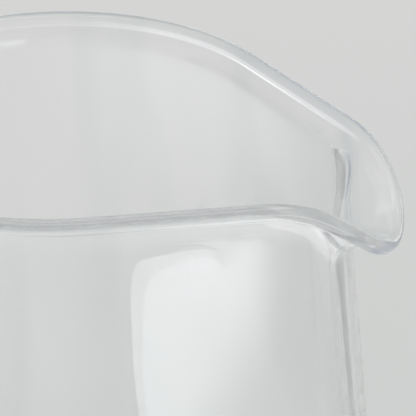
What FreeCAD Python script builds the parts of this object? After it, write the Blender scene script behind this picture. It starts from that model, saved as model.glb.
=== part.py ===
# A clear glass pitcher: a blown body with a beaded rim and a pulled spout, and an applied rod handle.
# Millimetres, +Z up, spout towards +X, handle towards -X.
# The origin is on the body's axis, in the plane of the foot.
import os
import FreeCAD
import Part
import Sketcher
from math import acos, atan, atan2, cos, degrees, pi, radians, sin, sqrt

Vector = FreeCAD.Vector
UP = Vector(0, 0, 1)

doc = FreeCAD.newDocument("glass_pitcher")

# Driving dimensions
DRIVING = [
    ("rim_height", 205, "centre of the rim bead above the table"),
    ("neck_radius", 47.5, "outside of the wall's cone at the height of the rim"),
    ("base_radius", 69.2, "outside of the wall's cone at the height of the table"),
    ("wall", 2.4, "thickness of the wall"),
    ("bead_diameter", 3.1, "fire-polished bead along the rim"),
    ("rim_radius", 43.7, "round part of the rim, at the middle of the bead"),
    ("rim_setback", 6.2, "centre of that round part, behind the body's axis"),
    ("spout_reach", 61.6, "tip of the spout in front of the axis, at the middle of the bead"),
    ("spout_tip_radius", 15.4, "round end of the spout in plan"),
    ("spout_start", 42.4, "distance in front of the axis where the rim begins to droop"),
    ("spout_dip", 12.2, "drop of the rim at the tip of the spout"),
    ("flare_length", 3.2, "length of glass turned outwards below the bead"),
    ("flare_angle", 30, "lean of the rim from upright"),
    ("lip_length", 12, "length of glass turned outwards at the tip of the spout"),
    ("lip_angle", 95, "lean of the lip from upright at the tip of the spout"),
    ("spout_pull", 120, "depth below the rim at which the wall is still round, under the spout"),
    ("rim_pull", 25, "the same depth at the back, under the plain rim"),
    ("base_thickness", 5, "glass between the table and the inside floor, at the foot"),
    ("heel_radius", 18, "outside rounding between wall and foot"),
    ("inner_heel_radius", 12, "inside rounding between wall and floor"),
    ("foot_width", 7, "width of the flat ring that stands on the table"),
    ("punt_rise", 2, "push-up of the underside at the axis"),
    ("handle_diameter", 11.5, "glass rod of the handle"),
    ("handle_drop", 37, "middle of the handle's upper joint below the rim"),
    ("handle_span", 96, "distance between the middles of the handle's two joints"),
    ("upper_bend", 26, "bend radius beside the upper joint, at the middle of the rod"),
    ("lower_bend", 32, "bend radius beside the lower joint, at the middle of the rod"),
    ("pad_diameter", 17, "flared end of the rod where it is fused to the wall"),
    ("pad_length", 8, "length over which the flared end narrows to the rod"),
]

sizes = doc.addObject("Spreadsheet::Sheet", "Sizes")
for row, (alias, value, meaning) in enumerate(DRIVING, start=1):
    sizes.set(f"A{row}", meaning)
    sizes.set(f"B{row}", str(value))
    sizes.setAlias(f"B{row}", alias)
doc.recompute()


def size(alias):
    """The value of one driving dimension."""
    return float(sizes.get(alias))


# Counts that set how finely the blown skin is described
COLUMNS = 72
HEEL_STEPS = 6
WALL_STEPS = 4
LEAN_STEPS = 6
BEND_STEPS = 4
BEAD_STEP = radians(45)

# Share of the straight-away direction in the pull of the lip, and the step for slopes by differences
LIP_SPREAD = 0.6
NUDGE = 1e-4

# An edge of less height than this is level
LEVEL = 1e-3

# The wall is a cone that narrows upwards
rim_height = size("rim_height")
wall = size("wall")
taper = (size("base_radius") - size("neck_radius")) / rim_height
cone_lean = atan(taper)


def cone_radius(height, depth):
    """Radius of the wall's cone at a height, at a depth inside its outer face."""
    return size("base_radius") - taper * height - depth / cos(cone_lean)


def spline_reach(step):
    """Radius of a cubic spline's poles, a given angle apart, over that of the circle which it follows."""
    return 3 / (2 + cos(step))


# Plan of the rim: a circle set back from the axis, two straight flanks and the round tip of the spout
rim_radius = size("rim_radius")
tip_radius = size("spout_tip_radius")
back_centre = -size("rim_setback")
tip_centre = size("spout_reach") - tip_radius
flank_turn = acos((rim_radius - tip_radius) / (tip_centre - back_centre))
flank_reach = rim_radius + back_centre * cos(flank_turn)
tip_end = atan2(tip_radius * sin(flank_turn), tip_centre + tip_radius * cos(flank_turn))
flank_end = atan2(rim_radius * sin(flank_turn), back_centre + rim_radius * cos(flank_turn))


def circle_reach(centre, radius, turn):
    """Distance from the axis, along an azimuth, to a circle whose centre lies on the X axis."""
    return centre * cos(turn) + sqrt(radius ** 2 - (centre * sin(turn)) ** 2)


def rim_plan(turn):
    """Point of the bead's middle line in plan, and its outward normal, at an azimuth from the spout."""
    side = abs(atan2(sin(turn), cos(turn)))
    if side < tip_end:
        reach = circle_reach(tip_centre, tip_radius, side)
        normal = Vector(reach * cos(turn) - tip_centre, reach * sin(turn), 0)
    elif side < flank_end:
        reach = flank_reach / cos(side - flank_turn)
        normal = Vector(cos(flank_turn), sin(flank_turn) if sin(turn) > 0 else -sin(flank_turn), 0)
    else:
        reach = circle_reach(back_centre, rim_radius, side)
        normal = Vector(reach * cos(turn) - back_centre, reach * sin(turn), 0)
    return Vector(reach * cos(turn), reach * sin(turn), 0), normal.normalize()


def rim_frame(turn):
    """Middle of the bead, the direction in which its glass ends, and the length that is turned outwards.
    The lip is pulled between the normal of the rim and straight away from the axis."""
    plan, normal = rim_plan(turn)
    start = size("spout_start")
    share = min(max((plan.x - start) / (size("spout_reach") - start), 0), 1)
    pulled = share ** 2 * (3 - 2 * share)
    lean = radians(size("flare_angle") + (size("lip_angle") - size("flare_angle")) * pulled)
    length = size("flare_length") + (size("lip_length") - size("flare_length")) * pulled
    spread = pulled * LIP_SPREAD
    away = (normal * (1 - spread) + Vector(plan).normalize() * spread).normalize()
    middle = plan + UP * (rim_height - size("spout_dip") * share ** 3)
    return middle, away * sin(lean) + UP * cos(lean), length


def neck_height(turn):
    """Height up to which the wall stays round, lowest under the spout."""
    front = (1 + cos(turn)) / 2
    return rim_height - size("rim_pull") - (size("spout_pull") - size("rim_pull")) * front


def neck_middle(turn, step):
    """Middle of the wall above the round neck. Steps 0 to 1 ease from the cone into a straight run,
    and steps 1 to 2 are the bend, a parabola that turns the wall to the direction of the rim."""
    rim, ending, length = rim_frame(turn)
    outwards = Vector(cos(turn), sin(turn), 0)
    neck = outwards * cone_radius(neck_height(turn), wall / 2) + UP * neck_height(turn)
    corner = rim - ending * length
    run = (corner - neck).normalize()
    bend = corner - run * length
    reach = (bend - neck).Length / 3
    leave = neck + (UP * cos(cone_lean) - outwards * sin(cone_lean)) * reach
    arrive = bend - run * reach
    if step <= 1:
        rest = 1 - step
        early = neck * rest ** 3 + leave * (3 * rest ** 2 * step)
        late = arrive * (3 * rest * step ** 2) + bend * step ** 3
        return early + late
    part = step - 1
    return bend * (1 - part) ** 2 + corner * (2 * part * (1 - part)) + rim * part ** 2


def neck_normal(turn, step):
    """Outward normal of the middle of the wall above the round neck."""
    along = neck_middle(turn + NUDGE, step) - neck_middle(turn - NUDGE, step)
    upwards = neck_middle(turn, step + NUDGE) - neck_middle(turn, step - NUDGE)
    return along.cross(upwards).normalize()


def heel_poles(radius, floor, depth):
    """Poles, as radius and height, of the rounding that leaves a flat floor and ends on the wall's cone."""
    centre = cone_radius(floor + radius, depth) - radius / cos(cone_lean)
    turn_step = (pi / 2 + cone_lean) / HEEL_STEPS
    poles = [(centre, floor), (centre + radius * turn_step / 3, floor)]
    for step in range(1, HEEL_STEPS + 1):
        turn = step * turn_step - pi / 2
        reach = radius * spline_reach(turn_step)
        poles.append((centre + reach * cos(turn), floor + radius + reach * sin(turn)))
    return poles


def wall_poles(turn, heel_height, depth):
    """Poles, as radius and height, of the straight wall from the heel up to the neck."""
    poles = []
    for step in range(1, WALL_STEPS + 1):
        height = heel_height + (neck_height(turn) - heel_height) * step / WALL_STEPS
        poles.append((cone_radius(height, depth), height))
    return poles


def bead_poles(turn):
    """Poles round the bead, from the outside of the wall over the top to the inside."""
    rim, ending, _ = rim_frame(turn)
    along = (rim_frame(turn + NUDGE)[0] - rim_frame(turn - NUDGE)[0]).normalize()
    outwards = along.cross(ending).normalize()
    upwards = outwards.cross(along)
    reach = size("bead_diameter") / 2 * spline_reach(BEAD_STEP)
    poles = []
    for step in range(-1, 6):
        poles.append(rim + (outwards * cos(step * BEAD_STEP) + upwards * sin(step * BEAD_STEP)) * reach)
    return poles


outer_heel = heel_poles(size("heel_radius"), 0, 0)
inner_heel = heel_poles(size("inner_heel_radius"), size("base_thickness"), wall)


def skin_column(turn):
    """Poles of the whole skin in one upright plane: up the outside, over the bead and down the inside."""
    def round_poles(heel, depth):
        poles = heel + wall_poles(turn, heel[-1][1], depth)
        return [Vector(radius * cos(turn), radius * sin(turn), height) for radius, height in poles]

    steps = [step / LEAN_STEPS for step in range(1, LEAN_STEPS)]
    steps += [1 + step / BEND_STEPS for step in range(BEND_STEPS)]
    middles = [neck_middle(turn, step) for step in steps]
    offsets = [neck_normal(turn, step) * (wall / 2) for step in steps]
    outside = [middle + offset for middle, offset in zip(middles, offsets)]
    inside = [middle - offset for middle, offset in zip(middles, offsets)]
    upwards = round_poles(outer_heel, 0) + outside
    downwards = inside[::-1] + round_poles(inner_heel, wall)[::-1]
    return upwards + bead_poles(turn) + downwards


def skin_face():
    """The blown skin as one closed cubic spline surface, round the axis and along its columns."""
    columns = [skin_column(2 * pi * column / COLUMNS) for column in range(COLUMNS)]
    rows = len(columns[0])
    poles = []
    for column in range(COLUMNS):
        before = columns[column - 1]
        here = columns[column]
        after = columns[(column + 1) % COLUMNS]
        poles.append([b - (a - b * 2 + c) / 6 for a, b, c in zip(before, here, after)])
    surface = Part.BSplineSurface()
    around = list(range(COLUMNS + 1))
    up_and_over = list(range(rows - 2))
    surface.buildFromPolesMultsKnots(
        poles, [1] * (COLUMNS + 1), [4] + [1] * (rows - 4) + [4], around, up_and_over, True, False, 3, 3)
    return surface.toShape()


def blown_solid():
    """The skin closed by a flat underside and a flat inside floor."""
    skin = skin_face()
    rings = [edge for edge in skin.Edges if edge.BoundBox.ZLength < LEVEL]
    floors = [Part.Face(Part.Wire([ring])) for ring in rings]
    shell = Part.makeShell([skin] + floors)
    shell.sewShape()
    solid = Part.makeSolid(shell)
    if solid.Volume < 0:
        solid.reverse()
    return solid


blank = doc.addObject("Part::Feature", "blown_blank")
blank.Shape = blown_solid()

# The underside is pushed up inside the flat foot ring, as a shallow part of a large ball
foot_radius = outer_heel[0][0]
punt_radius = foot_radius - size("foot_width")
punt_ball = doc.addObject("Part::Sphere", "punt_ball")
punt_ball.Radius = (punt_radius ** 2 + size("punt_rise") ** 2) / (2 * size("punt_rise"))
punt_ball.setExpression("Placement.Base.z", "Sizes.punt_rise * 1 mm - Radius")

glass_body = doc.addObject("Part::Cut", "glass_body")
glass_body.Base = blank
glass_body.Tool = punt_ball

# The handle is a bent round rod, drawn as circles along its middle line, from the upper joint down
TOP = "(Sizes.rim_height - Sizes.handle_drop)"
BOTTOM = f"({TOP} - Sizes.handle_span)"
ROD_RADIUS = "Sizes.handle_diameter / 2"
PAD_RADIUS = "Sizes.pad_diameter / 2"
BEND_TURNS = [0, 30, 60, 90]

# Depth of the rod's end in the wall's thickness, and the place and swelling of the waist of its flare
SEAT_DEPTH = 0.65
WAIST_PLACE = 0.4
WAIST_SWELLING = 0.2
PAD_WAIST = f"({ROD_RADIUS} + (Sizes.pad_diameter - Sizes.handle_diameter) / 2 * {WAIST_SWELLING})"


def wall_face(height):
    """Expression for the radius of the wall's outer face at a height."""
    return f"(Sizes.base_radius - (Sizes.base_radius - Sizes.neck_radius) * {height} / Sizes.rim_height)"


def wall_seat(height):
    """Expression for the radius at which the rod ends, within the thickness of the wall."""
    return f"({wall_face(height)} - Sizes.wall * {SEAT_DEPTH})"


UPRIGHT = f"({wall_face(BOTTOM)} + Sizes.pad_length + Sizes.lower_bend)"

rod = doc.addObject("PartDesign::Body", "handle_rod")
side_plane = [plane for plane in rod.Origin.OriginFeatures if plane.Role == "YZ_Plane"][0]


def rod_circle(reach, height, turn, radius):
    """One circle square to the rod, at a reach behind the axis and a height, turned down by an angle."""
    sketch = rod.newObject("Sketcher::SketchObject", "rod_circle")
    sketch.AttachmentSupport = [(side_plane, "")]
    sketch.MapMode = "FlatFace"
    sketch.AttachmentOffset = FreeCAD.Placement(Vector(), FreeCAD.Rotation(Vector(1, 0, 0), -turn))
    sketch.setExpression("AttachmentOffset.Base.y", height)
    sketch.setExpression("AttachmentOffset.Base.z", f"-{reach}")
    sketch.addGeometry(Part.Circle(Vector(), UP, size("handle_diameter") / 2), False)
    sketch.addConstraint(Sketcher.Constraint("Coincident", 0, 3, -1, 1))
    section = sketch.addConstraint(Sketcher.Constraint("Radius", 0, size("handle_diameter") / 2))
    sketch.renameConstraint(section, "section")
    sketch.setExpression("Constraints.section", radius)
    return sketch


def pad_circles(height, turn):
    """The flared end of the rod: the seat, which leans with the wall, and the waist above it."""
    seat = rod_circle(wall_seat(height), height, turn - degrees(cone_lean), PAD_RADIUS)
    waist_reach = f"({wall_face(height)} + Sizes.pad_length * {WAIST_PLACE})"
    waist = rod_circle(waist_reach, height, turn, PAD_WAIST)
    return [seat, waist]


circles = pad_circles(TOP, 0)
circles.append(rod_circle(f"({wall_face(TOP)} + Sizes.pad_length)", TOP, 0, ROD_RADIUS))
for turn in BEND_TURNS:
    reach = f"({UPRIGHT} - Sizes.upper_bend * (1 - sin({turn} deg)))"
    height = f"({TOP} - Sizes.upper_bend * (1 - cos({turn} deg)))"
    circles.append(rod_circle(reach, height, turn, ROD_RADIUS))
for turn in BEND_TURNS:
    reach = f"({UPRIGHT} - Sizes.lower_bend * (1 - cos({turn} deg)))"
    height = f"({BOTTOM} + Sizes.lower_bend * (1 - sin({turn} deg)))"
    circles.append(rod_circle(reach, height, 90 + turn, ROD_RADIUS))
circles += pad_circles(BOTTOM, 180)[::-1]

bent_rod = rod.newObject("PartDesign::AdditiveLoft", "bent_rod")
bent_rod.Profile = circles[0]
bent_rod.Sections = circles[1:]

# The ends of the rod take the shape of the wall that they are fused to
handle = doc.addObject("Part::Cut", "handle")
handle.Base = rod
handle.Tool = glass_body

doc.recompute()
for item in doc.Objects:
    if "Invalid" in item.State or "Error" in item.State:
        raise RuntimeError(f"{item.Label} failed: {item.State}")
pieces = [glass_body, handle]
for piece in pieces:
    shape = piece.Shape
    if shape.isNull() or not shape.isValid() or len(shape.Solids) != 1:
        raise RuntimeError(f"{piece.Label} is not one valid solid")
    print(piece.Label, round(shape.Volume), shape.BoundBox)

os.makedirs("parts", exist_ok=True)
for piece in pieces:
    piece.Shape.exportStep(f"parts/{piece.Label}.step")
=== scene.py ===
from math import radians

import bpy
import numpy as np
from bpy.props import FloatProperty, FloatVectorProperty, PointerProperty
from bpy.types import Operator, Panel, PropertyGroup
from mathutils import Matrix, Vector


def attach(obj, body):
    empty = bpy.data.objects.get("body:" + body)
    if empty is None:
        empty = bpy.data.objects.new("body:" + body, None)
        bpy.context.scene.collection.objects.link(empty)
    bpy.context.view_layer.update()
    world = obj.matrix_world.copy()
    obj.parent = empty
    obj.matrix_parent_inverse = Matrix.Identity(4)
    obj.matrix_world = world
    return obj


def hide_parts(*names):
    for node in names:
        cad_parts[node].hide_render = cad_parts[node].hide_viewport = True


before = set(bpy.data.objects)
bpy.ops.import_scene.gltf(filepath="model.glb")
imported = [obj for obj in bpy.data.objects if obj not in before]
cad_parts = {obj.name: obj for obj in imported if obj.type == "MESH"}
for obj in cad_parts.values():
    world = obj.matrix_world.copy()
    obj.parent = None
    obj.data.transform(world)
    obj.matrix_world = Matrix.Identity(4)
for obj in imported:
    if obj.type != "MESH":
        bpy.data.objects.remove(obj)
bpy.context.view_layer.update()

bl_info = {
    "name": "Glass Pitcher",
    "version": (1, 0, 0),
    "blender": (4, 5, 0),
    "location": "View3D > Sidebar > Pitcher",
    "description": "Blown glass pitcher with a beaded rim, a pulled spout and an applied rod handle",
    "category": "Add Mesh",
}

# Samples of the surfaces: per column and per span of the body's skin, across its underside and its floor,
# along the handle and around it
AROUND = 6
UPWARDS = 4
PUNT_RINGS = 10
FLOOR_RINGS = 8
ROD_STEPS = 260
ROD_SIDES = 48

# Spline that describes the blown skin, the same as in the solid: columns of poles round the axis, steps up
# the heel, the cone, the neck and the bend, and angles of the bead's poles from the outside over the top
DEGREE = 3
COLUMNS = 72
HEEL_STEPS = 6
WALL_STEPS = 4
LEAN_STEPS = 6
BEND_STEPS = 4
BEAD_STEP = radians(45)
BEAD_TURNS = np.arange(-1, 6) * BEAD_STEP

# Share by which the glass at the tip of the spout leans straight away from the axis, not square to the rim
LIP_SPREAD = 0.6

# Step over which slopes are measured, and gap that keeps the last sample inside the last span of the spline
NUDGE = 1e-4
TINY = 1e-9
UP = np.array([0.0, 0.0, 1.0])

# Ends of the handle: share of the wall's thickness that the rod sinks in, and the bell curve of its flare,
# whose width is a share of the pad's length
ROD_SUNK = 0.65
BELL_WIDTH = 0.45
BELL_POWER = 1.4

# Pattern of the glass: how often noise changes along X, Y and Z in each metre, and the steps it is cut to
CORD_STRETCH = (75, 75, 2)
CORD_STEP = (0.45, 0.65)
SMEAR_SCALE = 18.0
SMEAR_STEP = (0.4, 0.8)
RIPPLE_STRETCH = (130, 130, 4)

# Floor, in metres: half of its side, and the ways over which its tone changes, including the painted light in
# front and far behind, the painted shade far to the right and the painted soft shadow. A way leads behind the
# axis, away from the camera, or to the camera's right where the name says aside. The shade's way is from its
# centre.
FLOOR_HALF = 4.0
FRONT_WAY = (-0.24, 0.04)
FAR_WAY = (0.1, 0.6)
BACK_WAY = (0.58, 0.9)
BACK_ASIDE = (-0.12, 0.12)
SIDE_ASIDE = (0.14, 0.44)
SHADE_WAY = (0.03, 0.155)
SHADE_CENTRE = (-0.02, 0.09, 0)

# Share of the floor's look that glows with its tone, painted light and shadow included, whatever real light
# or shadow falls on it
FLOOR_GLOW = 0.8

# Parts of the room, in degrees: low end, high end and softness of the turn, then of the rise from level.
# The turn is counted to the right from the camera, and for the wall part from straight behind the object.
SHADED_PART = ((-165, -68, 8), (2, 46, 6))
CAMERA_PART = ((-18, 14, 6), (-5, 15, 4))
WALL_PART = ((2, 34, 8), (-5, 16, 5))
TOP_PART = ((-75, 135, 10), (64, 74, 4))

# Low window, in metres: softness of its edges, heights over which it brightens and ends, and the way to the
# right over which it fades. The strip's share is the brightness of the dimmer strip along its left edge.
WINDOW_SOFT = 0.001
WINDOW_BRIGHTENS = (0.068, 0.122)
WINDOW_ENDS = (0.140, 0.154)
WINDOW_FADES = (0.08, 0.40)
STRIP_SHARE = 0.65

# The photograph's side, in pixels
PHOTO_SIDE = 416
MILLIMETRES = 1000


def length(name, description, metres):
    """A property that holds one length."""
    return FloatProperty(
        name=name, description=description, default=metres, min=0, unit="LENGTH", precision=4)


def angle(name, description, degrees):
    """A property that holds one angle."""
    return FloatProperty(name=name, description=description, default=radians(degrees), subtype="ANGLE")


def colour(name, description, rgb):
    """A property that holds one linear colour."""
    return FloatVectorProperty(
        name=name, description=description, default=rgb, size=3, min=0, subtype="COLOR")


def amount(name, description, value):
    """A property that holds one plain number."""
    return FloatProperty(name=name, description=description, default=value, min=0, precision=4)


class PitcherSizes(PropertyGroup):
    """Sizes of the pitcher, the same as in the solid."""
    rim_height: length("Rim height", "Centre of the rim bead above the table", 0.205)
    neck_radius: length("Neck radius", "Outside of the wall's cone at the height of the rim", 0.0475)
    base_radius: length("Base radius", "Outside of the wall's cone at the height of the table", 0.0692)
    wall: length("Wall", "Thickness of the wall", 0.0024)
    bead_diameter: length("Bead diameter", "Fire-polished bead along the rim", 0.0031)
    rim_radius: length("Rim radius", "Round part of the rim, at the middle of the bead", 0.0437)
    rim_setback: length("Rim setback", "Centre of the round rim behind the body's axis", 0.0062)
    spout_reach: length("Spout reach", "Tip of the spout in front of the axis", 0.0616)
    spout_tip_radius: length("Spout tip radius", "Round end of the spout in plan", 0.0154)
    spout_start: length("Spout start", "Distance in front of the axis where the rim begins to droop", 0.0424)
    spout_dip: length("Spout dip", "Drop of the rim at the tip of the spout", 0.0122)
    flare_length: length("Flare length", "Length of glass turned outwards below the bead", 0.0032)
    flare_angle: angle("Flare angle", "Lean of the rim from upright", 30)
    lip_length: length("Lip length", "Length of glass turned outwards at the tip of the spout", 0.012)
    lip_angle: angle("Lip angle", "Lean of the lip from upright at the tip of the spout", 95)
    spout_pull: length("Spout pull", "Depth below the rim, under the spout, at which the wall is round", 0.12)
    rim_pull: length("Rim pull", "Depth below the rim, at the back, at which the wall is round", 0.025)
    base_thickness: length("Base thickness", "Glass between the table and the inside floor", 0.005)
    heel_radius: length("Heel radius", "Outside rounding between wall and foot", 0.018)
    inner_heel_radius: length("Inner heel radius", "Inside rounding between wall and floor", 0.012)
    foot_width: length("Foot width", "Width of the flat ring that stands on the table", 0.007)
    punt_rise: length("Punt rise", "Push-up of the underside at the axis", 0.002)
    handle_diameter: length("Handle diameter", "Glass rod of the handle", 0.0115)
    handle_drop: length("Handle drop", "Middle of the upper joint below the rim", 0.037)
    handle_span: length("Handle span", "Distance between the middles of the joints", 0.096)
    upper_bend: length("Upper bend", "Bend radius beside the upper joint", 0.026)
    lower_bend: length("Lower bend", "Bend radius beside the lower joint", 0.032)
    pad_diameter: length("Pad diameter", "Flared end of the rod at the wall", 0.017)
    pad_length: length("Pad length", "Length over which the flared end narrows to the rod", 0.008)


class GlassFinish(PropertyGroup):
    """Finish of the glass."""
    tint: colour("Tint", "Clear glass", (0.998, 1.0, 1.0))
    cord_tint: colour("Cord tint", "Slightly denser streaks drawn up the wall", (0.945, 0.958, 0.958))
    refraction: amount("Refraction", "Index of refraction", 1.48)
    polish: amount("Polish", "Roughness of the fire-polished skin", 0.0)
    smear: amount("Smear", "Added roughness where the skin has been handled", 0.008)
    ripple: amount("Ripple", "Height of the drawn ripples in the skin, in metres", 0.00002)
    escape: amount("Escape", "Share of the light led inside the wall that leaves it at each turn", 0.35)
    rod_escape: amount("Rod escape", "The same share in the solid rod of the handle", 0.12)


class StudioSettings(PropertyGroup):
    """Floor, light and camera."""
    # Painted light: a lighter floor tone in front that stands in for a pool of the window's light
    painted_front_light: colour("Floor front", "Pale floor in front, in the window's light", (0.97, 0.97, 0.97))
    floor_near: colour("Floor near", "Pale floor around the object", (0.667, 0.683, 0.664))
    floor_far: colour("Floor far", "Pale floor behind the object", (0.732, 0.727, 0.715))
    # Painted light: a lighter floor tone far behind that stands in for light before the bright wall
    painted_back_light: colour("Floor back", "Pale floor far behind, before the bright wall", (0.94, 0.94, 0.94))
    # Painted shade: a darker floor tone far to the right, out of the window's light
    painted_side_shade: colour("Floor side", "Pale floor far to the right, past the window", (0.55, 0.55, 0.55))
    floor_shade: colour("Floor shade", "Soft shadow under the body and behind it", (0.40, 0.42, 0.44))
    room: colour("Room", "Soft grey light from all round", (0.50, 0.52, 0.55))
    shade: colour("Shade", "Cool shaded side of the room, left of and behind the object", (0.04, 0.10, 0.24))
    camera_side: colour("Camera side", "Dimmer low part of the room behind the camera", (0.40, 0.43, 0.43))
    back_wall: colour("Back wall", "Bright low wall behind the object", (1.6, 1.6, 1.57))
    top_light: colour("Top light", "Bright soft light overhead", (2.4, 2.4, 2.4))
    window: colour("Window", "Radiance of the low soft light on the right", (3.8, 3.8, 3.95))
    window_turn: angle("Window turn", "Direction of the low light, right of the camera", 50)
    window_distance: length("Window distance", "Low light's plane from the body's axis", 0.30)
    window_width: length("Window width", "Width of the low light", 0.52)
    window_low: length("Window low", "Lower edge of the low light above the floor", 0.04)
    window_top: length("Window top", "Upper edge of the low light above the floor", 0.30)
    window_edge: length("Window edge", "Left edge of the bright part at the knee, from the left end", 0.094)
    window_knee: length("Window knee", "Height at which the left edge lies farthest right", 0.112)
    window_lean: amount("Window lean", "Way to the left for each way up or down from the knee", 1.0)
    window_border: length("Window border", "Width of the dimmer strip along the left edge", 0.0095)
    view_turn: angle("View turn", "Camera's turn from the front towards the spout", 23.71)
    view_rise: angle("View rise", "Camera's height above the horizon", 28.89)
    view_distance: length("View distance", "Camera's distance from the rim", 0.52)
    view_scale: amount("View scale", "Photograph's pixels for each millimetre at the rim", 5.27)
    view_right: length("View right", "Picture's centre to the right of the rim's centre", 0.02286)
    view_below: length("View below", "Picture's centre below the rim's centre", 0.0164)


def unit(vectors):
    """Vectors scaled to length one."""
    return vectors / np.linalg.norm(vectors, axis=-1, keepdims=True)


def away(turn):
    """Level directions away from the axis, at azimuths counted from the spout."""
    return np.stack([np.cos(turn), np.sin(turn), np.zeros_like(turn)], axis=-1)


def cone_lean(sizes):
    """Lean of the wall from upright: the arc tangent of its loss of radius over its height."""
    return np.arctan((sizes.base_radius - sizes.neck_radius) / sizes.rim_height)


def cone_radius(sizes, height, depth):
    """Radius of the wall's cone at a height and at a depth inside its outer face. It falls evenly upwards."""
    lean = cone_lean(sizes)
    return sizes.base_radius - np.tan(lean) * height - depth / np.cos(lean)


def spline_reach(step):
    """Radius of the poles of a cubic spline, an angle apart, over that of the circle that it follows."""
    return 3 / (2 + np.cos(step))


def circle_reach(centre, radius, turn):
    """Distance from the axis, along an azimuth, to a circle whose centre lies on the X axis."""
    return centre * np.cos(turn) + np.sqrt(np.maximum(radius ** 2 - (centre * np.sin(turn)) ** 2, 0))


def rim_plan(sizes, turn):
    """Middle line of the bead in plan and its outward normal: a circle set back from the axis, two straight
    flanks that touch it, and the round tip of the spout that the flanks touch too."""
    back = -sizes.rim_setback
    tip = sizes.spout_reach - sizes.spout_tip_radius
    flank_turn = np.arccos((sizes.rim_radius - sizes.spout_tip_radius) / (tip - back))
    flank_reach = sizes.rim_radius + back * np.cos(flank_turn)
    touch = np.array([np.cos(flank_turn), np.sin(flank_turn)])
    tip_end = np.arctan2(*(sizes.spout_tip_radius * touch + [tip, 0])[::-1])
    flank_end = np.arctan2(*(sizes.rim_radius * touch + [back, 0])[::-1])
    signed = np.arctan2(np.sin(turn), np.cos(turn))
    side = np.abs(signed)
    on_tip = side < tip_end
    on_flank = (side < flank_end) & ~on_tip
    reach = np.select(
        [on_tip, on_flank],
        [circle_reach(tip, sizes.spout_tip_radius, side), flank_reach / np.cos(side - flank_turn)],
        circle_reach(back, sizes.rim_radius, side))
    plan = away(turn) * reach[..., None]
    centre = np.where(on_tip, tip, back)
    normal = plan - np.stack([centre, 0 * centre, 0 * centre], axis=-1)
    normal = np.where(on_flank[..., None], away(flank_turn * np.sign(signed)), normal)
    return plan, unit(normal)


def rim_frame(sizes, turn):
    """Middle of the bead, the direction in which the rim's glass ends, and the length turned outwards. The
    droop grows with the cube of the way along the spout, and the lean with a smooth step of it."""
    plan, normal = rim_plan(sizes, turn)
    share = np.clip((plan[..., 0] - sizes.spout_start) / (sizes.spout_reach - sizes.spout_start), 0, 1)
    pulled = share ** 2 * (3 - 2 * share)
    lean = (sizes.flare_angle + (sizes.lip_angle - sizes.flare_angle) * pulled)[..., None]
    turned = sizes.flare_length + (sizes.lip_length - sizes.flare_length) * pulled
    spread = (pulled * LIP_SPREAD)[..., None]
    outwards = unit(normal * (1 - spread) + unit(plan) * spread)
    middle = plan + UP * (sizes.rim_height - sizes.spout_dip * share ** 3)[..., None]
    return middle, outwards * np.sin(lean) + UP * np.cos(lean), turned[..., None]


def neck_height(sizes, turn):
    """Height up to which the wall stays round: a cosine between the back and the lower front."""
    front = (1 + np.cos(turn)) / 2
    return sizes.rim_height - sizes.rim_pull - (sizes.spout_pull - sizes.rim_pull) * front


def neck_middle(sizes, turn, step):
    """Middle of the wall above the round neck. Steps 0 to 1 are a cubic that leaves along the cone and ends
    on a straight run to the bend. Steps 1 to 2 are a parabola that turns the wall to the rim's direction."""
    rim, ending, turned = rim_frame(sizes, turn)
    lean = cone_lean(sizes)
    height = neck_height(sizes, turn)
    neck = away(turn) * cone_radius(sizes, height, sizes.wall / 2)[..., None] + UP * height[..., None]
    corner = rim - ending * turned
    run = unit(corner - neck)
    bend = corner - run * turned
    reach = np.linalg.norm(bend - neck, axis=-1, keepdims=True) / 3
    leave = neck + (UP * np.cos(lean) - away(turn) * np.sin(lean)) * reach
    arrive = bend - run * reach
    done = np.minimum(step, 1)
    left = 1 - done
    rise = neck * left ** 3 + leave * (3 * left ** 2 * done)
    rise = rise + arrive * (3 * left * done ** 2) + bend * done ** 3
    done = step - 1
    left = 1 - done
    turning = bend * left ** 2 + corner * (2 * done * left) + rim * done ** 2
    return np.where(step <= 1, rise, turning)


def neck_normal(sizes, turn, step):
    """Outward normal of the middle of the wall: the cross product of its slopes around and upwards."""
    along = neck_middle(sizes, turn + NUDGE, step) - neck_middle(sizes, turn - NUDGE, step)
    upwards = neck_middle(sizes, turn, step + NUDGE) - neck_middle(sizes, turn, step - NUDGE)
    return unit(np.cross(along, upwards))


def heel_poles(sizes, radius, floor, depth):
    """Radius and height of the poles of a round heel, an arc from a level floor to the wall's cone."""
    lean = cone_lean(sizes)
    centre = cone_radius(sizes, floor + radius, depth) - radius / np.cos(lean)
    step = (np.pi / 2 + lean) / HEEL_STEPS
    turns = np.arange(1, HEEL_STEPS + 1) * step - np.pi / 2
    reach = radius * spline_reach(step)
    start = np.array([[centre, floor], [centre + radius * step / 3, floor]])
    arc = np.stack([centre + reach * np.cos(turns), floor + radius + reach * np.sin(turns)], axis=-1)
    return np.concatenate([start, arc])


def round_poles(sizes, turn, heel, depth):
    """Poles of the round body: the heel, then even steps up the cone to the neck, at every azimuth."""
    share = np.arange(1, WALL_STEPS + 1)[:, None] / WALL_STEPS
    height = heel[-1, 1] + (neck_height(sizes, turn) - heel[-1, 1]) * share
    wall = away(turn) * cone_radius(sizes, height, depth)[..., None] + UP * height[..., None]
    bottom = away(turn) * heel[:, None, :1] + UP * heel[:, None, 1:]
    return np.concatenate([bottom, wall])


def bead_poles(sizes, turn):
    """Poles on a circle round the bead's middle line, from the outside over the top to the inside."""
    rim, ending, _ = rim_frame(sizes, turn)
    along = unit(rim_frame(sizes, turn + NUDGE)[0] - rim_frame(sizes, turn - NUDGE)[0])
    outwards = unit(np.cross(along, ending))
    upwards = np.cross(outwards, along)
    turns = BEAD_TURNS[:, None, None]
    reach = sizes.bead_diameter / 2 * spline_reach(BEAD_STEP)
    return rim + (outwards * np.cos(turns) + upwards * np.sin(turns)) * reach


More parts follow.
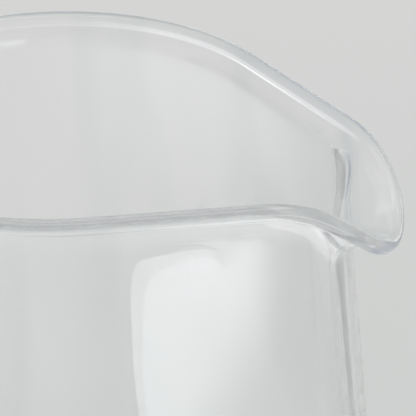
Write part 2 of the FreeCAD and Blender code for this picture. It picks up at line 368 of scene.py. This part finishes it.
def skin_poles(sizes):
    """Poles of the whole skin, rows by columns: up the outside, over the bead and down the inside. A sixth of
    the second difference round the axis is taken off, so that the spline keeps close to the points."""
    turn = np.arange(COLUMNS) * 2 * np.pi / COLUMNS
    steps = np.concatenate([np.arange(1, LEAN_STEPS) / LEAN_STEPS, 1 + np.arange(BEND_STEPS) / BEND_STEPS])
    steps = steps[:, None, None]
    middle = neck_middle(sizes, turn, steps)
    offset = neck_normal(sizes, turn, steps) * sizes.wall / 2
    outer_heel = heel_poles(sizes, sizes.heel_radius, 0, 0)
    inner_heel = heel_poles(sizes, sizes.inner_heel_radius, sizes.base_thickness, sizes.wall)
    poles = np.concatenate([
        round_poles(sizes, turn, outer_heel, 0),
        middle + offset,
        bead_poles(sizes, turn),
        (middle - offset)[::-1],
        round_poles(sizes, turn, inner_heel, sizes.wall)[::-1],
    ])
    return poles - (np.roll(poles, 1, axis=1) - 2 * poles + np.roll(poles, -1, axis=1)) / 6


def round_weights(count, samples):
    """Weights of evenly spaced poles of a closed cubic spline, at evenly spaced samples per pole."""
    part = np.tile(np.arange(samples) / samples, count)
    first = np.repeat(np.arange(count), samples)
    blend = np.stack([(1 - part) ** 3, 3 * part ** 3 - 6 * part ** 2 + 4,
                      -3 * part ** 3 + 3 * part ** 2 + 3 * part + 1, part ** 3], axis=-1) / 6
    weights = np.zeros((count * samples, count))
    for pole in range(DEGREE + 1):
        weights[np.arange(count * samples), (first + pole - 1) % count] += blend[:, pole]
    return weights


def open_weights(count, samples):
    """Weights of the poles of a cubic spline with fixed ends, by the recursion of its basis functions."""
    spans = count - DEGREE
    knots = np.concatenate([[0] * DEGREE, np.arange(spans + 1), [spans] * DEGREE]).astype(float)
    at = np.arange(spans * samples + 1)[:, None] / samples
    inside = np.minimum(at, spans - TINY)
    basis = ((knots[:-1] <= inside) & (inside < knots[1:])).astype(float)
    for degree in range(1, DEGREE + 1):
        low = knots[:-degree - 1]
        high = knots[degree + 1:]
        rise = knots[degree:-1] - low
        fall = high - knots[1:-degree]
        left = np.where(rise > 0, (at - low) / np.where(rise > 0, rise, 1), 0) * basis[:, :-1]
        right = np.where(fall > 0, (high - at) / np.where(fall > 0, fall, 1), 0) * basis[:, 1:]
        basis = left + right
    return basis


def body_rings(sizes):
    """All rings of the body, from the middle of the underside to the middle of the inside floor: a shallow
    ball cap, the flat foot, the spline skin and the level floor."""
    poles = skin_poles(sizes)
    around = round_weights(COLUMNS, AROUND)
    upwards = open_weights(len(poles), UPWARDS)
    skin = np.einsum("ur,rcx,vc->uvx", upwards, poles, around)
    turn = np.arange(COLUMNS * AROUND) * 2 * np.pi / (COLUMNS * AROUND)
    foot = heel_poles(sizes, sizes.heel_radius, 0, 0)[0, 0]
    punt = foot - sizes.foot_width
    ball = (punt ** 2 + sizes.punt_rise ** 2) / (2 * sizes.punt_rise)
    radius = np.linspace(0, punt, PUNT_RINGS)[:, None]
    rise = np.sqrt(ball ** 2 - radius ** 2) - (ball - sizes.punt_rise)
    under = away(turn) * radius[..., None] + UP * rise[..., None]
    shrink = np.linspace(1, 0, FLOOR_RINGS)[1:, None, None]
    floor = skin[-1] * (shrink * [1, 1, 0] + [0, 0, 1])
    return np.concatenate([under, skin, floor])


def rod_rings(sizes):
    """Rings of the handle: a circle carried along its middle line. The line's slope turns at a steady rate in
    the two bends and its place is the running sum of its direction. The radius flares at both ends as a bell
    curve."""
    top = sizes.rim_height - sizes.handle_drop
    bottom = top - sizes.handle_span
    sunk = sizes.wall * ROD_SUNK
    upright = cone_radius(sizes, bottom, 0) + sizes.pad_length + sizes.lower_bend
    start = cone_radius(sizes, top, 0) - sunk
    quarter = np.pi / 2
    legs = np.array([
        upright - sizes.upper_bend - start,
        sizes.upper_bend * quarter,
        sizes.handle_span - sizes.upper_bend - sizes.lower_bend,
        sizes.lower_bend * quarter,
        sizes.pad_length + sunk,
    ])
    way, step = np.linspace(0, legs.sum(), ROD_STEPS, retstep=True)
    slope = np.clip((way - legs[0]) / sizes.upper_bend, 0, quarter)
    slope += np.clip((way - legs[:3].sum()) / sizes.lower_bend, 0, quarter)
    heading = np.stack([-np.cos(slope), 0 * slope, -np.sin(slope)], axis=-1)
    moves = np.concatenate([np.zeros((1, 3)), (heading[1:] + heading[:-1]) / 2 * step])
    middle = np.array([-start, 0, top]) + np.cumsum(moves, axis=0)
    from_wall = np.maximum(np.minimum(way, legs.sum() - way) - sunk, 0)
    flare = np.exp(-(from_wall / (sizes.pad_length * BELL_WIDTH)) ** BELL_POWER)
    radius = (sizes.handle_diameter + (sizes.pad_diameter - sizes.handle_diameter) * flare) / 2
    outwards = np.stack([-np.sin(slope), 0 * slope, np.cos(slope)], axis=-1)
    turn = np.arange(ROD_SIDES) * 2 * np.pi / ROD_SIDES
    ring = np.cos(turn)[:, None] * outwards[:, None] + np.sin(turn)[:, None] * np.array([0.0, 1.0, 0.0])
    rings = middle[:, None] + ring * radius[:, None, None]
    ends = np.broadcast_to(middle[[0, -1], None], (2, ROD_SIDES, 3))
    return np.concatenate([ends[:1], rings, ends[1:]])


def closed_mesh(name, rings):
    """A closed smooth mesh of rings, whose first and last ring are single points: a fan, bands of quads and
    a fan."""
    bands, sides = rings.shape[0] - 2, rings.shape[1]
    points = np.concatenate([rings[:1, 0], rings[1:-1].reshape(-1, 3), rings[-1:, 0]])
    last = len(points) - 1
    here = np.arange(sides)
    after = np.roll(here, -1)
    low = 1 + here + sides * np.arange(bands - 1)[:, None]
    low_after = 1 + after + sides * np.arange(bands - 1)[:, None]
    quads = np.stack([low, low_after, low_after + sides, low + sides], axis=-1).reshape(-1, 4)
    start = np.stack([np.zeros_like(here), 1 + after, 1 + here], axis=-1)
    top = 1 + sides * (bands - 1)
    finish = np.stack([np.full_like(here, last), top + here, top + after], axis=-1)
    mesh = bpy.data.meshes.new(name)
    mesh.from_pydata(points, [], start.tolist() + quads.tolist() + finish.tolist())
    mesh.shade_smooth()
    if mesh.validate():
        raise RuntimeError(f"{name} has faces that Blender had to repair")
    piece = bpy.data.objects.new(name, mesh)
    bpy.context.scene.collection.objects.link(piece)
    return piece


class Wire:
    """A socket of a shader. Sums, differences and products of wires and numbers add Math nodes."""

    def __init__(self, sheet, socket):
        self.sheet = sheet
        self.socket = socket

    def maths(self, operation, first, second):
        node = self.sheet.node("ShaderNodeMath", {"operation": operation}, {0: first, 1: second})
        return Wire(self.sheet, node.outputs[0])

    def __add__(self, other):
        return self.maths("ADD", self, other)

    def __sub__(self, other):
        return self.maths("SUBTRACT", self, other)

    def __rsub__(self, other):
        return self.maths("SUBTRACT", other, self)

    def __mul__(self, other):
        return self.maths("MULTIPLY", self, other)

    def over(self, other):
        return self.maths("MAXIMUM", self, other)

    def turn_from(self, other):
        return self.maths("ARCTAN2", self, other)

    def rise(self):
        return self.maths("ARCSINE", self, 0)

    __radd__ = __add__
    __rmul__ = __mul__


class Sheet:
    """The node tree of one material, world or lamp, emptied and ready to be drawn on."""

    def __init__(self, owner):
        owner.use_nodes = True
        self.tree = owner.node_tree
        self.tree.nodes.clear()

    def node(self, kind, settings, inputs):
        """A node of a kind, with its settings, then the values or wires of its sockets."""
        made = self.tree.nodes.new(kind)
        for name, value in settings.items():
            setattr(made, name, value)
        for name, value in inputs.items():
            if isinstance(value, Wire):
                self.tree.links.new(value.socket, made.inputs[name])
            else:
                made.inputs[name].default_value = value
        return made

    def wire(self, kind, settings, inputs, output=0):
        """One output of a new node."""
        return Wire(self, self.node(kind, settings, inputs).outputs[output])

    def noise(self, place, scale=1.0, detail=1.0):
        """Soft noise between 0 and 1 at a place."""
        inputs = {"Vector": place, "Scale": scale, "Detail": detail}
        return self.wire("ShaderNodeTexNoise", {}, inputs, "Fac")

    def stretched(self, place, scale):
        """A place scaled along its axes."""
        return self.wire("ShaderNodeMapping", {}, {"Vector": place, "Scale": scale})

    def ramp(self, value, low, high):
        """A smooth step of a value from 0 at low to 1 at high."""
        inputs = {"Value": value, "From Min": low, "From Max": high}
        return self.wire("ShaderNodeMapRange", {"interpolation_type": "SMOOTHSTEP"}, inputs)

    def band(self, value, low, high, soft):
        """1 between low and high, with a soft step at each end."""
        return self.ramp(value, low - soft, low + soft) * (1 - self.ramp(value, high - soft, high + soft))

    def patch(self, turn, rise, spans):
        """1 in a span of turn and a span of rise, each given by its ends and softness in degrees."""
        across, upwards = np.radians(spans)
        return self.band(turn, *across) * self.band(rise, *upwards)

    def vectors(self, operation, first, second):
        """A number worked out from two vectors."""
        return self.wire("ShaderNodeVectorMath", {"operation": operation}, {0: first, 1: second}, "Value")

    def part(self, place, direction):
        """The part of a place along a direction."""
        return self.vectors("DOT_PRODUCT", place, direction)

    def mix(self, factor, first, second):
        """A colour between two colours, each a wire or three numbers."""
        first, second = [tone if isinstance(tone, Wire) else (*tone, 1) for tone in (first, second)]
        return self.wire("ShaderNodeMix", {"data_type": "RGBA"}, {0: factor, 6: first, 7: second}, 2)


def clear_glass(finish, name, escape):
    """Clear blown glass: drawn cords tint it faintly up the wall, the skin ripples along them, and handling
    has left soft smears on the polish. A share of the light that is led inside it escapes at each turn."""
    material = bpy.data.materials.new(name)
    sheet = Sheet(material)
    place = sheet.wire("ShaderNodeTexCoord", {}, {}, "Object")
    cords = sheet.ramp(sheet.noise(sheet.stretched(place, CORD_STRETCH)), *CORD_STEP)
    smears = sheet.ramp(sheet.noise(place, scale=SMEAR_SCALE), *SMEAR_STEP)
    ripples = sheet.noise(sheet.stretched(place, RIPPLE_STRETCH), detail=0.0)
    bump = sheet.wire("ShaderNodeBump", {}, {"Height": ripples, "Strength": 1.0, "Distance": finish.ripple})
    inside = sheet.wire("ShaderNodeNewGeometry", {}, {}, "Backfacing")
    glass = sheet.wire("ShaderNodeBsdfPrincipled", {}, {
        "Base Color": sheet.mix(cords, finish.tint, finish.cord_tint),
        "Roughness": smears * finish.smear + finish.polish,
        "IOR": finish.refraction,
        "Transmission Weight": 1.0,
        "Alpha": 1 - inside * escape,
        "Normal": bump,
    })
    sheet.node("ShaderNodeOutputMaterial", {}, {"Surface": glass})
    return material


def seen(sheet):
    """1 for rays sent by the camera, a reflection or a refraction, and 0 for those that light a surface."""
    path = sheet.node("ShaderNodeLightPath", {}, {})
    camera, glossy, transmitted = [
        Wire(sheet, path.outputs[name]) for name in ("Is Camera Ray", "Is Glossy Ray", "Is Transmission Ray")]
    return camera.over(glossy).over(transmitted)


def pale_floor(studio):
    """A pale floor that shows mostly its own tone to the camera and through glass, and a little of the light
    and shadow that fall on it. Its tone carries painted light and shade: it is painted lighter in front and
    far behind as pools of light, painted darker far to the right, and painted with a soft shadow under and
    behind the body."""
    material = bpy.data.materials.new("pale_floor")
    sheet = Sheet(material)
    place = sheet.wire("ShaderNodeTexCoord", {}, {}, "Object")
    turned = sheet.wire("ShaderNodeVectorRotate", {"rotation_type": "Z_AXIS"}, {
        "Vector": place, "Angle": -studio.view_turn})
    aside = sheet.wire("ShaderNodeSeparateXYZ", {}, {"Vector": turned}, "X")
    behind = sheet.wire("ShaderNodeSeparateXYZ", {}, {"Vector": turned}, "Y")
    tone = sheet.mix(sheet.ramp(behind, *FAR_WAY), studio.floor_near, studio.floor_far)
    # Painted light: the floor is painted lighter in front, as a pool of the window's light
    tone = sheet.mix(sheet.ramp(behind, *FRONT_WAY), studio.painted_front_light, tone)
    # Painted shade: the floor is painted darker far to the right, past the window
    tone = sheet.mix(sheet.ramp(aside, *SIDE_ASIDE), tone, studio.painted_side_shade)
    # Painted light: the floor is painted lighter far behind, before the bright wall
    back_light_mask = sheet.ramp(behind, *BACK_WAY) * sheet.ramp(aside, *BACK_ASIDE)
    tone = sheet.mix(back_light_mask, tone, studio.painted_back_light)
    apart = sheet.vectors("DISTANCE", turned, SHADE_CENTRE)
    tone = sheet.mix(sheet.ramp(apart, *SHADE_WAY), studio.floor_shade, tone)
    lit = sheet.wire("ShaderNodeBsdfDiffuse", {}, {"Color": tone})
    shown = sheet.wire("ShaderNodeEmission", {}, {"Color": tone, "Strength": 1.0})
    surface = sheet.wire("ShaderNodeMixShader", {}, {0: seen(sheet) * FLOOR_GLOW, 1: lit, 2: shown})
    sheet.node("ShaderNodeOutputMaterial", {}, {"Surface": surface})
    return material


def room_light(studio, front, right):
    """Soft light from all round, by direction: pale, with a cool shaded side, a dimmer low part by the
    camera, a bright low wall behind and a bright light overhead."""
    world = bpy.data.worlds.new("room")
    sheet = Sheet(world)
    place = sheet.wire("ShaderNodeTexCoord", {}, {}, "Generated")
    ahead = sheet.part(place, front)
    turn = sheet.part(place, right).turn_from(ahead)
    turn_behind = sheet.part(place, right).turn_from(0 - ahead)
    rise = sheet.part(place, (0, 0, 1)).rise()
    tone = sheet.mix(sheet.patch(turn, rise, SHADED_PART), studio.room, studio.shade)
    tone = sheet.mix(sheet.patch(turn, rise, CAMERA_PART), tone, studio.camera_side)
    tone = sheet.mix(sheet.patch(turn_behind, rise, WALL_PART), tone, studio.back_wall)
    tone = sheet.mix(sheet.patch(turn, rise, TOP_PART), tone, studio.top_light)
    light = sheet.wire("ShaderNodeBackground", {}, {"Color": tone, "Strength": 1.0})
    sheet.node("ShaderNodeOutputWorld", {}, {"Surface": light})
    return world


def window_light(lamp, studio):
    """Light of the low window: it begins at an edge that leans to the left above and below a knee, with a
    dimmer strip along the edge. It fades towards the floor and to the right, and ends below its top."""
    sheet = Sheet(lamp)
    place = sheet.wire("ShaderNodeNewGeometry", {}, {}, "Parametric")
    across = sheet.wire("ShaderNodeSeparateXYZ", {}, {"Vector": place}, "X") * lamp.size
    above = sheet.wire("ShaderNodeSeparateXYZ", {}, {"Vector": place}, "Y") * lamp.size_y + studio.window_low
    from_knee = above - studio.window_knee
    leaning = from_knee.over(0 - from_knee) * studio.window_lean
    inside = across + leaning - studio.window_edge
    border = studio.window_border
    strip = sheet.ramp(inside, -WINDOW_SOFT, WINDOW_SOFT)
    full = sheet.ramp(inside, border - WINDOW_SOFT, border + WINDOW_SOFT)
    fade = sheet.ramp(above, *WINDOW_BRIGHTENS) * (1 - sheet.ramp(above, *WINDOW_ENDS))
    fade *= 1 - sheet.ramp(across, *WINDOW_FADES)
    strength = (strip * STRIP_SHARE + full * (1 - STRIP_SHARE)) * fade
    glow = sheet.wire("ShaderNodeEmission", {}, {"Color": (*studio.window, 1), "Strength": strength})
    sheet.node("ShaderNodeOutputLight", {}, {"Surface": glow})


class PITCHER_OT_glass_body(Operator):
    """Blow the body: foot, wall, beaded rim and pulled spout in one skin of glass"""
    bl_idname = "pitcher.glass_body"
    bl_label = "Glass Body"

    def execute(self, context):
        scene = context.scene
        piece = closed_mesh("glass_body_skin", body_rings(scene.pitcher_sizes))
        glass = scene.pitcher_glass
        piece.data.materials.append(clear_glass(glass, "clear_glass", glass.escape))
        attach(piece, "root")
        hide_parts("glass_body")
        return {"FINISHED"}


class PITCHER_OT_handle(Operator):
    """Bend the rod handle and flare its ends against the wall"""
    bl_idname = "pitcher.handle"
    bl_label = "Handle"

    def execute(self, context):
        scene = context.scene
        piece = closed_mesh("handle_rod", rod_rings(scene.pitcher_sizes))
        glass = scene.pitcher_glass
        piece.data.materials.append(clear_glass(glass, "clear_rod", glass.rod_escape))
        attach(piece, "root")
        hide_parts("handle")
        return {"FINISHED"}


class PITCHER_OT_stage(Operator):
    """Set the pale floor, the soft light and the camera"""
    bl_idname = "pitcher.stage"
    bl_label = "Stage"

    def execute(self, context):
        scene = context.scene
        studio = scene.pitcher_studio
        self.lay_floor(scene, studio)
        self.light(scene, studio)
        self.aim(scene, studio)
        scene.view_settings.view_transform = "Standard"
        return {"FINISHED"}

    def lay_floor(self, scene, studio):
        mesh = bpy.data.meshes.new("floor")
        corners = np.array([[-1, -1, 0], [1, -1, 0], [1, 1, 0], [-1, 1, 0]]) * FLOOR_HALF
        mesh.from_pydata(corners, [], [(0, 1, 2, 3)])
        mesh.materials.append(pale_floor(studio))
        floor = bpy.data.objects.new("floor", mesh)
        scene.collection.objects.link(floor)

    def light(self, scene, studio):
        front = (np.sin(studio.view_turn), -np.cos(studio.view_turn), 0)
        right = (np.cos(studio.view_turn), np.sin(studio.view_turn), 0)
        scene.world = room_light(studio, front, right)
        place = Vector(front) * np.cos(studio.window_turn) + Vector(right) * np.sin(studio.window_turn)
        sides = studio.window_width, studio.window_top - studio.window_low
        data = bpy.data.lights.new("window", "AREA")
        data.shape = "RECTANGLE"
        data.size, data.size_y = sides
        data.energy = sides[0] * sides[1] * np.pi
        window_light(data, studio)
        lamp = bpy.data.objects.new("window", data)
        lamp.location = place * studio.window_distance + Vector((0, 0, studio.window_low + sides[1] / 2))
        lamp.rotation_euler = place.to_track_quat("Z", "Y").to_euler()
        scene.collection.objects.link(lamp)

    def aim(self, scene, studio):
        rise, turn = studio.view_rise, studio.view_turn
        back = Vector((np.sin(turn) * np.cos(rise), -np.cos(turn) * np.cos(rise), np.sin(rise)))
        right = Vector((np.cos(turn), np.sin(turn), 0))
        above = back.cross(right)
        rim = Vector((0, 0, scene.pitcher_sizes.rim_height))
        data = bpy.data.cameras.new("camera")
        pixels = studio.view_scale * studio.view_distance * MILLIMETRES
        data.lens = data.sensor_width * pixels / PHOTO_SIDE
        camera = bpy.data.objects.new("camera", data)
        centre = rim + right * studio.view_right - above * studio.view_below
        camera.location = centre + back * studio.view_distance
        camera.rotation_euler = back.to_track_quat("Z", "Y").to_euler()
        scene.collection.objects.link(camera)
        scene.camera = camera


class PITCHER_PT_panel(Panel):
    """Lists the pieces of the pitcher"""
    bl_idname = "PITCHER_PT_panel"
    bl_label = "Glass Pitcher"
    bl_space_type = "VIEW_3D"
    bl_region_type = "UI"
    bl_category = "Pitcher"

    def draw(self, context):
        column = self.layout.column()
        for operator in OPERATORS:
            column.operator(operator.bl_idname)


OPERATORS = (PITCHER_OT_glass_body, PITCHER_OT_handle, PITCHER_OT_stage)
GROUPS = {"pitcher_sizes": PitcherSizes, "pitcher_glass": GlassFinish, "pitcher_studio": StudioSettings}
CLASSES = (*GROUPS.values(), *OPERATORS, PITCHER_PT_panel)


def register():
    for made in CLASSES:
        bpy.utils.register_class(made)
    for name, group in GROUPS.items():
        setattr(bpy.types.Scene, name, PointerProperty(type=group))


def unregister():
    for name in GROUPS:
        delattr(bpy.types.Scene, name)
    for made in reversed(CLASSES):
        bpy.utils.unregister_class(made)


def main():
    """Registers the add-on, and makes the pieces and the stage."""
    register()
    for operator in OPERATORS:
        group, name = operator.bl_idname.split(".")
        getattr(getattr(bpy.ops, group), name)()


if __name__ == "__main__":
    main()
